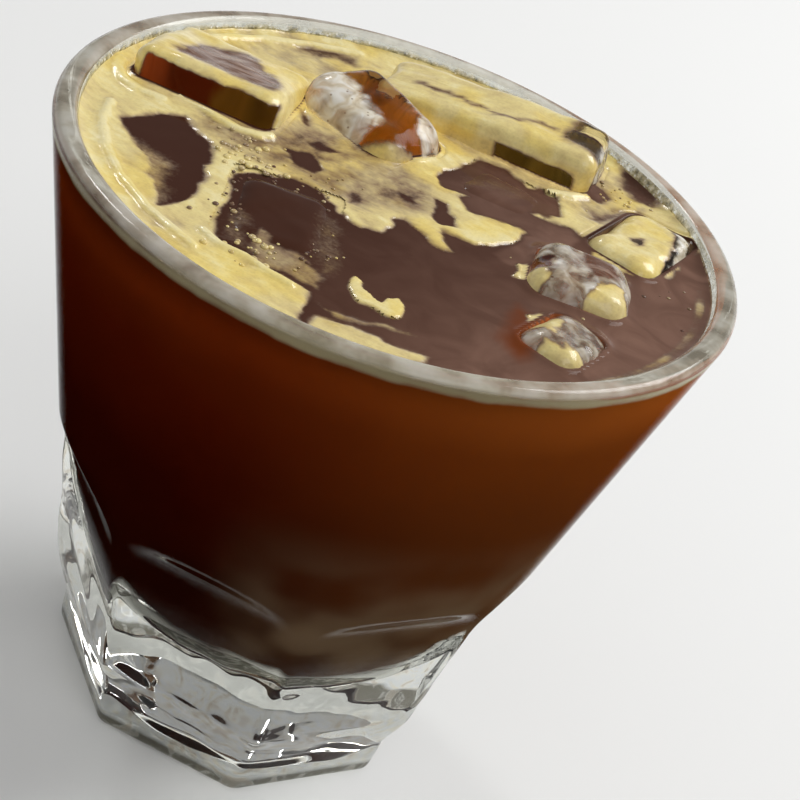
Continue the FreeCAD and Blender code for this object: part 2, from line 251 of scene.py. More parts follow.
def footprint(x, y, name):
    """Distance in from the outline that a lump makes in the surface, negative outside it."""
    middle, half, edge, spin = ice_frame(name)
    c, s = spin[0, 0], spin[1, 0]
    size = math.hypot(c, s)
    c, s = c / size, s / size
    dx, dy = x - middle[0], y - middle[1]
    u, v = np.abs(dx * c + dy * s) - half[0] + edge, np.abs(dy * c - dx * s) - half[1] + edge
    outside = np.hypot(np.maximum(u, 0), np.maximum(v, 0))
    return edge - outside - np.minimum(np.maximum(u, v), 0)


def ridge_height(x, y):
    """Smooth rolls of crema that stand up along the ice and the wall, from 0 to 1."""
    height = np.zeros(x.shape)
    for wide, line in RIDGES:
        height = np.maximum(height, np.exp(-((line_distance(x, y, line) / wide) ** 2)))
    return height


def crema_cover(x, y):
    """How thick the crema is, from 0 to 1, and how much milky film and painted sheen lies on bare
    coffee.
    """
    warp_x = x + 0.55 * clouds(x, y, 3.2, 11, 2) + 0.12 * clouds(x, y, 1.1, 21, 2)
    warp_y = y + 0.55 * clouds(x, y, 3.2, 31, 2) + 0.12 * clouds(x, y, 1.1, 41, 2)
    grain = clouds(x, y, 1.5, 51, 3)
    blot = clouds(x, y, 4.5, 61, 4)
    streak = clouds(x, y, 1.1, 71, 3, 5.0, -30)
    cover = 0.84 + 0.16 * blot + 0.10 * streak
    for amount, corners in THIN:
        thin = smoothstep(-3.0, 2.0, depth_inside(x, y, corners) + 1.5 * blot)
        cover = cover - thin * (amount + 0.30 * grain * amount + 0.30 * streak * amount)
    film = np.zeros(x.shape)
    for amount, soft, rag, milky, corners in BARE:
        edge = depth_inside(warp_x, warp_y, corners)
        bare = amount * smoothstep(-1.7 * soft, 1.3 * soft, edge + 0.22 * rag * grain)
        cover = cover * (1 - bare)
        film = np.maximum(film, bare * milky * (1 + 0.08 * streak))
    for amount, soft, rag, corners in ISLANDS:
        edge = depth_inside(warp_x, warp_y, corners)
        cover = np.maximum(cover, amount * smoothstep(-soft, soft, edge + 0.2 * rag * grain))
    ring = smoothstep(1.1, 0.2, np.abs(np.hypot(x, y) - CREMA_RING_R)) * smoothstep(14, 4, y)
    cover = np.maximum(cover, ring * (0.34 + 0.25 * clouds(x, y, 5.0, 81, 3)))
    # Painted highlight as well as real crema: the cover is made full and pale along the ridges.
    ridge_and_highlight = ridge_height(x, y)
    cover = np.maximum(cover, smoothstep(0.1, 0.6, ridge_and_highlight))
    # Painted reflection: the sheen is weaker towards the left, and on the right a strong painted
    # reflection of the bright surroundings is added.
    film = film * (0.25 + 0.75 * smoothstep(-6, 16, x - 0.2 * y))
    film = film + 0.50 * smoothstep(12, 36, x - 0.3 * y) * (film > 0)
    return np.clip(cover, 0, 1), np.clip(film, 0, 1)


# ---- shape of the glass


def panel_distance(z):
    """A panel's distance from the axis at a height, up to where it leaves the wall."""
    heights, spans = zip(*PANEL_LINE)
    blur = np.linspace(-PANEL_SOFT, PANEL_SOFT, 9)
    flat = np.mean([np.interp(z + b, heights, spans) for b in blur], axis=0)
    sine = np.clip((z - ARCH_START) / ARCH_R + math.sin(PANEL_LEAN), 0, 0.9999)
    arc = spans[-1] + ARCH_R * (math.cos(PANEL_LEAN) - np.sqrt(1 - sine**2))
    return np.where(z > ARCH_START, arc, flat) + np.where(z > ARCH_END, CLEAR_OF_WALL, 0)


def outer_radius(theta, z):
    """Outside of the tumbler: a cone, with eight flat panels that run out of it in arches."""
    cone = OUTER_R - (RIM_Z - np.maximum(z, ARCH_START)) * BODY_LEAN
    eighth = math.pi / 4
    turn = np.abs((theta + eighth / 2) % eighth - eighth / 2)
    span = panel_distance(z)
    panels = soft_min(span / np.cos(turn), span / np.cos(eighth - turn), PANEL_SOFT)
    return soft_min(cone, panels, ARCH_SOFT)


def hollow_radius(z):
    return HOLLOW_R - (RIM_Z - z) * HOLLOW_LEAN


def hollow_outline(top, grow=0.0, steps=44):
    """(radius, height) down the hollow's wall, round its corner and in to the axis."""
    lean = math.atan(HOLLOW_LEAN)
    round_r = FLOOR_ROUND + grow
    centre_z = FLOOR_Z + FLOOR_ROUND
    centre_x = hollow_radius(centre_z) - FLOOR_ROUND / math.cos(lean)
    points = []
    corner_top = centre_z - round_r * math.sin(lean)
    for z in np.linspace(top, corner_top, steps):
        points.append((hollow_radius(z) + grow / math.cos(lean), z))
    for a in np.linspace(-lean, -math.pi / 2, 14)[1:]:
        points.append((centre_x + round_r * math.cos(a), centre_z + round_r * math.sin(a)))
    floor_r = points[-1][0]
    for s in np.linspace(1, 0, 8)[1:-1]:
        points.append((floor_r * s, points[-1][1]))
    return points


# ---- meshes


def new_object(name, verts, faces, material, smooth=True):
    mesh = bpy.data.meshes.new(name)
    mesh.from_pydata([tuple(v) for v in np.asarray(verts) * MM], [], faces)
    mesh.validate()
    if smooth:
        mesh.polygons.foreach_set("use_smooth", [True] * len(mesh.polygons))
    mesh.update()
    item = bpy.data.objects.new(name, mesh)
    bpy.context.scene.collection.objects.link(item)
    mesh.materials.append(material)
    return item


def paint(item, **layers):
    """Stores one number, or one colour, for each point of a mesh."""
    for name, values in layers.items():
        values = np.asarray(values, dtype=np.float32)
        kind, field = ("FLOAT_COLOR", "color") if values.ndim == 2 else ("FLOAT", "value")
        layer = item.data.attributes.new(name, kind, "POINT")
        layer.data.foreach_set(field, values.ravel())


def angles(count):
    return np.linspace(0, 2 * math.pi, count, endpoint=False)


def ring_points(theta, radius, z):
    return np.stack([radius * np.cos(theta), radius * np.sin(theta), np.full(len(theta), z)], axis=1)


def around(count):
    """Each point of a ring, with the one after it."""
    return [(j, (j + 1) % count) for j in range(count)]


def band_faces(base, count):
    """Faces between the ring whose points start at base and the next ring."""
    return [(base + j, base + k, base + count + k, base + count + j) for j, k in around(count)]


def lathe(name, rings, material):
    """Rings of points, each the same count, joined into one closed skin."""
    count = len(rings[0])
    verts = [p for ring in rings for p in ring]
    faces = []
    for i in range(len(rings) - 1):
        faces += band_faces(i * count, count)
    for ring, flip in ((0, True), (len(rings) - 1, False)):
        verts.append(np.mean(rings[ring], axis=0))
        c = len(verts) - 1
        base = ring * count
        for j, k in around(count):
            faces.append((base + k, base + j, c) if flip else (base + j, base + k, c))
    return new_object(name, verts, faces, material)


# ---- materials


class Tree:
    """The nodes of a material or of the world, with short ways to add and join them."""

    def __init__(self, owner):
        owner.use_nodes = True
        self.owner = owner
        self.tree = owner.node_tree
        self.tree.nodes.clear()

    def node(self, kind, **settings):
        item = self.tree.nodes.new("ShaderNode" + kind)
        for name, value in settings.items():
            setattr(item, name, value)
        return item

    def fed(self, kind, **inputs):
        """A node with its inputs set by name, with _ for a space."""
        item = self.node(kind)
        for name, value in inputs.items():
            self.feed(item.inputs[name.replace("_", " ")], value)
        return item

    def link(self, source, target):
        self.tree.links.new(source, target)

    def feed(self, target, value):
        """Sets a socket to a plain value, or joins it to another socket."""
        if isinstance(value, bpy.types.NodeSocket):
            self.link(value, target)
        elif isinstance(value, tuple) and len(value) == 3 and target.type == "RGBA":
            target.default_value = (*value, 1)
        else:
            target.default_value = value

    def math(self, operation, a, b=0.0, clamp=False):
        item = self.node("Math", operation=operation, use_clamp=clamp)
        self.feed(item.inputs[0], a)
        self.feed(item.inputs[1], b)
        return item.outputs[0]

    def blend(self, factor, a, b, kind="MIX"):
        item = self.node("Mix", data_type="RGBA", blend_type=kind)
        self.feed(item.inputs["Factor"], factor)
        self.feed(item.inputs[6], a)
        self.feed(item.inputs[7], b)
        return item.outputs[2]

    def layer(self, name):
        return self.node("Attribute", attribute_name=name).outputs["Fac"]

    def tint(self):
        item = self.node("Attribute", attribute_name="tint")
        return item.outputs["Color"], item.outputs["Alpha"]

    def place(self):
        return self.node("TexCoord").outputs["Object"]

    def noise(self, size_mm, detail, rough=0.5, warp=0.0, stretch=None):
        """Noise. stretch is the angle it is turned by and how far it is drawn out there."""
        source = self.place()
        if stretch:
            turn = (0, 0, math.radians(stretch[0]))
            source = self.fed("Mapping", Vector=source, Rotation=turn, Scale=(1 / stretch[1], 1, 1))
            source = source.outputs["Vector"]
        scale = 1.0 / (size_mm * MM)
        return self.fed(
            "TexNoise", Vector=source, Scale=scale, Detail=detail, Roughness=rough, Distortion=warp,
        ).outputs["Fac"]

    def cells(self, size_mm):
        item = self.fed("TexVoronoi", Vector=self.place(), Scale=1.0 / (size_mm * MM))
        return item.outputs["Distance"]

    def remap(self, value, a, b, c=0.0, d=1.0, kind="SMOOTHSTEP"):
        item = self.fed("MapRange", Value=value, From_Min=a, From_Max=b, To_Min=c, To_Max=d)
        item.interpolation_type = kind
        return item.outputs["Result"]

    def between(self, place, limits, c=0.0, d=1.0, kind="SMOOTHSTEP"):
        """How far a place lies from the first limit to the second, in millimetres."""
        return self.remap(place, limits[0] * MM, limits[1] * MM, c, d, kind)

    def ramp(self, value, stops):
        item = self.node("ValToRGB")
        band = item.color_ramp.elements
        band[0].position, band[1].position = stops[0][0], stops[-1][0]
        band[0].color, band[1].color = (*stops[0][1], 1), (*stops[-1][1], 1)
        for at, colour in stops[1:-1]:
            band.new(at).color = (*colour, 1)
        self.feed(item.inputs["Fac"], value)
        return item.outputs["Color"]

    def bump(self, height, strength, distance_mm):
        item = self.fed("Bump", Height=height, Strength=strength, Distance=distance_mm * MM)
        return item.outputs["Normal"]

    def skin(self, colour, roughness, **inputs):
        """A Principled shader."""
        item = self.fed("BsdfPrincipled", Base_Color=colour, Roughness=roughness, **inputs)
        return item.outputs["BSDF"]

    def split(self, vector):
        return self.fed("SeparateXYZ", Vector=vector).outputs

    def stir(self, value, noise, amount):
        """A value with some noise added, up or down."""
        return self.math("ADD", value, self.math("MULTIPLY", self.math("SUBTRACT", noise, 0.5), amount))

    def mix(self, factor, a, b):
        item = self.node("MixShader")
        self.feed(item.inputs["Fac"], factor)
        self.link(a, item.inputs[1])
        self.link(b, item.inputs[2])
        return item.outputs["Shader"]

    def finish(self, shader, lets_lamps_through=None):
        """Joins the shader to the output. What is clear lets the lamps through it."""
        if lets_lamps_through:
            clear = self.fed("BsdfTransparent", Color=lets_lamps_through).outputs["BSDF"]
            shader = self.mix(self.node("LightPath").outputs["Is Shadow Ray"], shader, clear)
        self.fed("OutputMaterial", Surface=shader)
        return self.owner


def looks(name):
    return Tree(bpy.data.materials.new(name))


GLASS_IOR = 1.5
# The glass's look, by height: each band comes in from its first number to its second.
HEEL_SHADE = (3.4, 2.2)
PAINTED_FOOT = (20, 15)
ABOVE_FOOT = (26, 33)
BELOW_RIM = (83, 82)
RIM_RESIDUE = (RIM_Z - 0.95, RIM_Z - 0.35)
# Faces that lean down by more than this keep their reflections, and so do those seen edge on.
DOWNWARD = (-0.60, -0.32)
EDGE_ON = (0.35, 0.97)


def glass_look():
    """Clear pressed glass: calm on its tall wall, with painted reflections and painted shade in the
    foot, coffee clinging to its rim.
    """
    t = looks("clear_glass")
    height = t.split(t.place())["Z"]
    normal = t.bump(t.noise(11.0, 2.0), 0.03, 1.0)
    swirl = t.noise(3.5, 2.0, 0.5, 1.5)
    # Painted reflection: the foot's glass is coloured in swirls of pale yellow, blue and brown that
    # stand for the surroundings seen through it.
    painted_reflections = t.ramp(swirl, [
        (0.34, (0.62, 0.52, 0.40)), (0.42, (0.92, 0.90, 0.78)), (0.50, (0.93, 0.94, 0.91)),
        (0.58, (0.84, 0.89, 0.94)), (0.66, (0.90, 0.84, 0.66)),
    ])
    # Painted shade: the glass is coloured near black at the heel, where it meets the floor.
    heel_shade = t.math("MULTIPLY", t.between(height, HEEL_SHADE), t.remap(swirl, 0.40, 0.52, 0.75, 1.0))
    colour = t.blend(heel_shade, painted_reflections, (0.05, 0.045, 0.03))
    colour = t.blend(t.between(height, PAINTED_FOOT), (0.90, 0.92, 0.87), colour)
    glass = t.skin(
        colour, 0.0, Normal=normal, IOR=GLASS_IOR, Transmission_Weight=1.0,
        Specular_Tint=(0.02, 0.02, 0.02),
    )
    bend = t.fed(
        "BsdfRefraction", Color=(0.95, 0.96, 0.93), Roughness=0.0, IOR=GLASS_IOR, Normal=normal,
    )
    shine = t.fed("Fresnel", IOR=GLASS_IOR, Normal=normal)
    slope = t.split(t.node("NewGeometry").outputs["Normal"])["Z"]
    calm = t.math("MULTIPLY", t.between(height, ABOVE_FOOT), t.between(height, BELOW_RIM))
    calm = t.math("MULTIPLY", calm, t.remap(slope, *DOWNWARD))
    keep = t.math("SUBTRACT", 1.0, calm)
    keep = t.math("MAXIMUM", keep, t.remap(shine.outputs["Fac"], *EDGE_ON))
    wall = t.mix(keep, bend.outputs["BSDF"], glass)
    spots = t.noise(4.5, 3.0, 0.5)
    residue = t.ramp(spots, [
        (0.32, (0.40, 0.35, 0.26)), (0.48, (0.60, 0.55, 0.44)), (0.68, (0.76, 0.73, 0.64)),
    ])
    clinging = t.skin(residue, 0.12, IOR=1.4)
    clings = t.between(height, RIM_RESIDUE, 0.0, 0.62)
    clings = t.math("MULTIPLY", clings, t.remap(spots, 0.3, 0.6, 0.75, 1.0))
    return t.finish(t.mix(clings, wall, clinging), (0.96, 0.97, 0.96))


def foam_shader(t, cover):
    """Crema: fine pale foam, darker where it is thin, with small bubbles in it."""
    grain = t.noise(0.6, 3.0, 0.55)
    blot = t.noise(3.0, 3.0, 0.55, 0.8)
    streak = t.noise(1.3, 3.0, 0.6, 0.4, (32, 5.0))
    bubble = t.cells(0.42)
    level = t.stir(cover, grain, 0.16)
    level = t.stir(level, blot, 0.34)
    level = t.stir(level, streak, 0.34)
    colour = t.ramp(level, [
        (0.25, (0.13, 0.075, 0.045)), (0.42, (0.29, 0.19, 0.10)), (0.58, (0.50, 0.38, 0.185)),
        (0.72, (0.70, 0.555, 0.24)), (0.88, (0.82, 0.68, 0.29)), (1.0, (0.88, 0.77, 0.41)),
    ])
    rich = t.remap(t.noise(7.0, 2.0, 0.5), 0.46, 0.62, 0.0, 0.75)
    colour = t.blend(rich, colour, t.blend(1.0, colour, (1.02, 0.94, 0.56), "MULTIPLY"))
    shade = t.remap(bubble, 0.0, 0.55, 0.93, 1.02, "LINEAR")
    colour = t.blend(1.0, colour, shade, "MULTIPLY")
    height = t.math("ADD", streak, t.math("MULTIPLY", grain, 0.4))
    normal = t.bump(height, 0.30, 0.30)
    return t.skin(colour, 0.30, Normal=normal, IOR=1.36, Coat_Weight=0.4, Coat_Roughness=0.08)


def under_foam(t, shader):
    """A shader with the crema that lies on it."""
    foam = t.layer("foam")
    crisp = t.stir(foam, t.noise(0.5, 3.0, 0.6), 0.36)
    return t.mix(t.remap(crisp, 0.12, 0.50), shader, foam_shader(t, foam))


def surface_look():
    """The coffee's top: bare coffee with its milky film and painted sheen, under broken crema."""
    t = looks("coffee_surface")
    tint, tinted = t.tint()
    cloud = t.noise(7.0, 3.0, 0.5, 1.2)
    # Milky film and painted sheen: the bare coffee turns the purple-grey of its surroundings reflected
    # in it.
    film_and_sheen_share = t.math("MULTIPLY", t.layer("film"), t.remap(cloud, 0.3, 0.75, 0.65, 1.1), clamp=True)
    dark = t.blend(film_and_sheen_share, (0.046, 0.015, 0.008), (0.26, 0.145, 0.105))
    # Painted light: the tint carries the glow of light through the ice and beside it.
    dark = t.blend(tinted, dark, tint)
    bare = t.skin(dark, 0.05, IOR=1.34, Specular_IOR_Level=0.10)
    return t.finish(under_foam(t, bare))


# Where each colour of the coffee behind the wall comes in, from its first number to its second.
FOOT_TO_LEVEL = (16, 82)
LEFT_TO_RIGHT = (-6, 34)
REFLECTION_ACROSS = (-2, 12)
REFLECTION_DOWN = (58, 36)
PALE_BAND = (LEVEL - 0.6, LEVEL + 0.1)


def coffee_look():
    """Coffee behind the wall, its light and shade painted: near black at the core, red-brown where the
    light gets in, with a painted reflection of the floor on the right.
    """
    t = looks("coffee")
    place = t.split(t.place())
    across, up = place["X"], place["Z"]
    height = t.between(up, FOOT_TO_LEVEL, kind="LINEAR")
    height = t.stir(height, t.noise(16.0, 2.0), 0.16)
    # Painted light and shade: near black at the core, lighter under the level where light gets in, and
    # lighter towards the right.
    left = t.ramp(height, [
        (0.0, (0.018, 0.0040, 0.0016)), (0.30, (0.022, 0.0026, 0.0009)),
        (0.55, (0.040, 0.0030, 0.0007)), (0.80, (0.090, 0.0085, 0.0012)),
        (0.93, (0.125, 0.0160, 0.0018)), (1.0, (0.10, 0.013, 0.0018)),
    ])
    right = t.ramp(height, [
        (0.0, (0.075, 0.040, 0.021)), (0.35, (0.095, 0.036, 0.0130)),
        (0.60, (0.120, 0.030, 0.0065)), (0.85, (0.190, 0.043, 0.0065)),
        (1.0, (0.250, 0.062, 0.0090)),
    ])
    colour = t.blend(t.between(across, LEFT_TO_RIGHT), left, right)
    # Painted reflection: a pale patch of the floor reflected in the wall, low on the right.
    floor_reflection = t.remap(t.noise(13.0, 2.0, 0.4), 0.30, 0.62)
    floor_reflection = t.math("MULTIPLY", floor_reflection, t.between(across, REFLECTION_ACROSS))
    floor_reflection = t.math("MULTIPLY", floor_reflection, t.between(up, REFLECTION_DOWN, 0.0, 0.80))
    colour = t.blend(floor_reflection, colour, (0.19, 0.125, 0.075))
    uneven = t.remap(t.noise(5.0, 2.0), 0.3, 0.7, -0.15 * MM, 0.15 * MM)
    band = t.between(t.math("ADD", up, uneven), PALE_BAND)
    colour = t.blend(band, colour, (0.40, 0.33, 0.20))
    body = t.skin(colour, 0.6, Specular_IOR_Level=0.0)
    mirror = t.fed("BsdfAnisotropic", Color=(0.92, 0.92, 0.90), Roughness=0.03)
    mirror.distribution = "GGX"
    grazing = t.remap(t.fed("LayerWeight", Blend=0.5).outputs["Facing"], 0.50, 0.62)
    return t.finish(t.mix(grazing, body, mirror.outputs["BSDF"]))


ICE_IOR = 1.31


def ice_look():
    """Wet ice: clear, frosted in places, with crema lying on it."""
    t = looks("ice")
    wave = t.noise(2.4, 2.0, 0.5)
    speck = t.noise(2.4, 2.0, 0.5, 1.0)
    dots = t.remap(t.cells(1.4), 0.05, 0.16, 0.25, 1.0)
    clear = t.skin(
        (0.94, 0.92, 0.88), t.remap(wave, 0.3, 0.7, 0.0, 0.05), Normal=t.bump(wave, 0.20, 0.5),
        IOR=ICE_IOR, Transmission_Weight=1.0, Specular_Tint=(0.1, 0.1, 0.1),
    )
    white = t.ramp(speck, [
        (0.25, (0.62, 0.50, 0.34)), (0.45, (0.76, 0.67, 0.50)), (0.70, (0.86, 0.83, 0.76)),
    ])
    white = t.blend(dots, (0.20, 0.12, 0.06), white)
    milky = t.skin(white, 0.15, Normal=t.bump(speck, 0.2, 0.30), IOR=ICE_IOR)
    stain, stained = t.tint()
    streak = t.noise(1.1, 3.0, 0.6, 0.4, (32, 4.0))
    stain = t.blend(t.remap(streak, 0.42, 0.70), stain, (0.36, 0.24, 0.18))
    brown = t.skin(stain, 0.15, Normal=t.bump(streak, 0.3, 0.30), IOR=ICE_IOR)
    cold = t.stir(t.layer("frost"), speck, 0.45)
    shader = t.mix(t.remap(cold, 0.15, 0.80), clear, milky)
    return t.finish(under_foam(t, t.mix(stained, shader, brown)), (0.85, 0.82, 0.78))


# ---- tumbler

# Rows of points up the outside of the wall: from, to, how many. They lie close where it bends.
WALL_ROWS = [
    (2.2, 5.6, 5), (5.9, 7.6, 7), (8.3, 12.8, 6), (13.2, 15.0, 6), (16.2, 31.0, 12), (31.8, 46.6, 38),
    (47.8, 80.0, 20), (81.0, RIM_Z - LIP_ROUND, 4),
]


def make_tumbler(material):
    count = 480
    theta = angles(count)
    cos_t, sin_t = np.cos(theta), np.sin(theta)
    rings = []

    def ring(radius, z):
        rings.append(ring_points(theta, radius, z))

    ball = (PUNT_R**2 / PUNT_DEPTH + PUNT_DEPTH) / 2
    for r in (4.0, 8.0, 12.0, 15.0, 16.6):
        ring(r, PUNT_DEPTH - ball + math.sqrt(ball**2 - r**2))
    foot = outer_radius(theta, np.zeros(count)) - HEEL_ROUND
    for s in (0.0, 0.06, 0.3, 0.6, 0.85, 0.96):
        ring(FOOT_RING_R + (foot - FOOT_RING_R) * s, 0.0)
    for a in np.linspace(0, math.pi / 2, 8):
        z = HEEL_ROUND * (1 - math.cos(a))
        ring(outer_radius(theta, np.full(count, z)) - HEEL_ROUND * (1 - math.sin(a)), z)
    for z in np.concatenate([np.linspace(*rows) for rows in WALL_ROWS]):
        wave = PRESSED_WAVE * smoothstep(2.0, 6.0, z) * smoothstep(40.0, 24.0, z)
        wave = wave * clouds(26 * cos_t + z, 26 * sin_t - z, 7.0, 301, 2)
        ring(outer_radius(theta, np.full(count, z)) + wave, z)
    lip_z = RIM_Z - LIP_ROUND
    outer_lip = OUTER_R - LIP_ROUND * BODY_LEAN
    for a in np.linspace(0, math.pi / 2, 8)[1:]:
        ring(outer_lip - LIP_ROUND * (1 - math.cos(a)), lip_z + LIP_ROUND * math.sin(a))
    inner_lip = hollow_radius(lip_z)
    for a in np.linspace(math.pi / 2, 0, 8):
        ring(inner_lip + LIP_ROUND * (1 - math.cos(a)), lip_z + LIP_ROUND * math.sin(a))
    for r, z in hollow_outline(lip_z - 0.6):
        ring(r, z)
    return lathe("tumbler_glass", rings, material)


# ---- coffee and crema

GRID = 240
MENISCUS = 0.8
MENISCUS_REACH = 1.1
ICE_MENISCUS = 0.55
ICE_MENISCUS_REACH = 0.9
HIGHEST = 1.1  # of the surface above its level
POCKET = 6.5
UNDER_ICE = (0.9, 1.7)  # distance in from a lump's outline between which its pocket falls away

# Colour of the coffee seen through each lump of ice that stands out of it, painted light: the amber of
# light passing through thin coffee. The others lie flush.
THROUGH_ICE = {
    "ice_left": (0.34, 0.19, 0.025),
    "ice_back": (0.30, 0.20, 0.04),
    "ice_middle_left": (0.52, 0.23, 0.022),
    "ice_right": (0.30, 0.08, 0.02),
    "ice_right_back": (0.14, 0.08, 0.04),
    "ice_right_front": (0.30, 0.08, 0.02),
}
# Painted light too: the red-brown seen through the left end of the left lump.
RED_BROWN = (0.26, 0.05, 0.010)
PAINTED_AMBER_GLOW = [(19.4, -14.6), (21.4, -16), (23.4, -19), (24, -22.5), (22.6, -25), (19.6, -23)]
TOP_RING = hollow_radius(LEVEL + MENISCUS) + INTO_WALL


def disc_grid():
    """A square grid drawn out to the coffee's round surface, its outer rows on the wall."""
    t = np.linspace(-1, 1, GRID)
    a, b = np.meshgrid(t, t, indexing="ij")
    wide = np.abs(a) >= np.abs(b)
    safe_a, safe_b = np.where(a == 0, 1, a), np.where(b == 0, 1, b)
    angle = np.where(wide, math.pi / 4 * b / safe_a, math.pi / 2 - math.pi / 4 * a / safe_b)
    radius = np.where(wide, a, b) * TOP_RING
    return radius * np.cos(angle), radius * np.sin(angle)


def liquid_height(x, y, pocket=POCKET):
    """The coffee's surface: level, drawn up at the wall and round the ice, sunk under the ice."""
    height = LEVEL + MENISCUS * np.exp(-(TOP_RING - np.hypot(x, y)) / MENISCUS_REACH)
    for name in THROUGH_ICE:
        edge = footprint(x, y, name)
        height = height + ICE_MENISCUS * np.exp(-np.abs(edge - 0.4) / ICE_MENISCUS_REACH)
        off_wall = smoothstep(TOP_RING - 1.6, TOP_RING - 3.4, np.hypot(x, y))
        height = height - pocket * smoothstep(*UNDER_ICE, edge) * off_wall
    return np.minimum(height, LEVEL + HIGHEST)


def grid_faces(keep=None):
    faces = []
    for i in range(GRID - 1):
        for j in range(GRID - 1):
            if keep is None or keep[i, j]:
                a = i * GRID + j
                faces.append((a, a + GRID, a + GRID + 1, a + 1))
    return faces


def surface_tint(x, y):
    """Colour and strength of the painted light in the coffee: light through the ice, warm glows."""
    tint = np.zeros(x.shape + (4,))
    blot = clouds(x, y, 2.5, 91, 3)
    for name, colour in THROUGH_ICE.items():
        inside = smoothstep(0.5, 0.9, footprint(x, y, name))
        colour = np.array(colour) * np.clip(1 + 0.6 * blot, 0.3, 1.7)[..., None]
        if name == "ice_left":
            left = smoothstep(-29.0, -31.0, x)[..., None]
            colour = colour * (1 - left) + np.array(RED_BROWN) * left
        tint[..., :3] = tint[..., :3] * (1 - inside[..., None]) + colour * inside[..., None]
        tint[..., 3] = np.maximum(tint[..., 3], inside)
    # Painted light: a warm glow on the open coffee beside the front right lump.
    painted_glow = smoothstep(-1.5, 1.5, depth_inside(x, y, PAINTED_AMBER_GLOW) + 0.6 * blot) * 0.9
    fresh = painted_glow > tint[..., 3]
    tint[fresh, :3] = (0.16, 0.035, 0.006)
    tint[..., 3] = np.maximum(tint[..., 3], painted_glow)
    return tint


def make_coffee(side, top, x, y, cover, film):
    """The coffee: a turned body up to the wall's meniscus, closed by its uneven surface."""
    height = liquid_height(x, y)
    corner_turn = -math.pi / 4
    count = 4 * (GRID - 1)
    theta = corner_turn + np.arange(count) * (math.pi / 2 / (GRID - 1))
    edge = [(GRID - 1, j) for j in range(GRID - 1)] + [(i, GRID - 1) for i in range(GRID - 1, 0, -1)]
    edge += [(0, j) for j in range(GRID - 1, 0, -1)] + [(i, 0) for i in range(GRID - 1)]
    order = [i * GRID + j for i, j in edge]
    verts = [np.stack([x.ravel(), y.ravel(), height.ravel()], axis=1)]
    faces = grid_faces()
    top_faces = len(faces)
    base = GRID * GRID
    above = order
    for r, z in hollow_outline(LEVEL + MENISCUS, grow=INTO_WALL, steps=6)[1:]:
        verts.append(ring_points(theta, r, z))
        below = list(range(base, base + count))
        for j, k in around(count):
            faces.append((above[j], below[j], below[k], above[k]))
        above = below
        base += count
    verts.append(np.array([[0, 0, z]]))
    for j, k in around(count):
        faces.append((above[j], base, above[k]))
    item = new_object("coffee_body", np.concatenate(verts), faces, side)
    item.data.materials.append(top)
    index = np.zeros(len(faces), dtype=np.int32)
    index[:top_faces] = 1
    item.data.polygons.foreach_set("material_index", index)
    rest = len(item.data.vertices) - GRID * GRID
    tint = surface_tint(x, y).reshape(-1, 4)
    for name in THROUGH_ICE:
        cover = cover * smoothstep(0.3, 0.0, footprint(x, y, name))
    paint(
        item,
        foam=np.concatenate([cover.ravel(), np.zeros(rest)]),
        film=np.concatenate([film.ravel(), np.zeros(rest)]),
        tint=np.concatenate([tint, np.zeros((rest, 4))]),
    )
    return item


def make_crema(material, x, y, cover, film):
    """The crema: a thin uneven sheet whose edges sink into the coffee."""
    relief = 0.34 * smoothstep(0.22, 1.0, cover) - 0.05 + 0.03 * clouds(x, y, 1.2, 101, 2)
    relief += 0.40 * ridge_height(x, y)
    for name in THROUGH_ICE:
        relief -= 0.7 * smoothstep(-0.9, 0.1, footprint(x, y, name))
    clear = np.ones(x.shape, bool)
    for name in ICE:
        clear &= footprint(x, y, name) < UNDER_ICE[0]
    height = liquid_height(x, y, 0.0) + relief
    shown = (cover > 0.12) & clear
    keep = shown[:-1, :-1] & shown[1:, :-1] & shown[:-1, 1:] & shown[1:, 1:]
    faces = np.array(grid_faces(keep))
    used, packed = np.unique(faces, return_inverse=True)
    points = np.stack([x.ravel(), y.ravel(), height.ravel()], axis=1)[used]
    item = new_object("crema_foam", points, packed.reshape(faces.shape).tolist(), material)
    tint = np.zeros((len(used), 4))
    paint(item, foam=cover.ravel()[used], film=film.ravel()[used], tint=tint)
    return item


# ---- ice

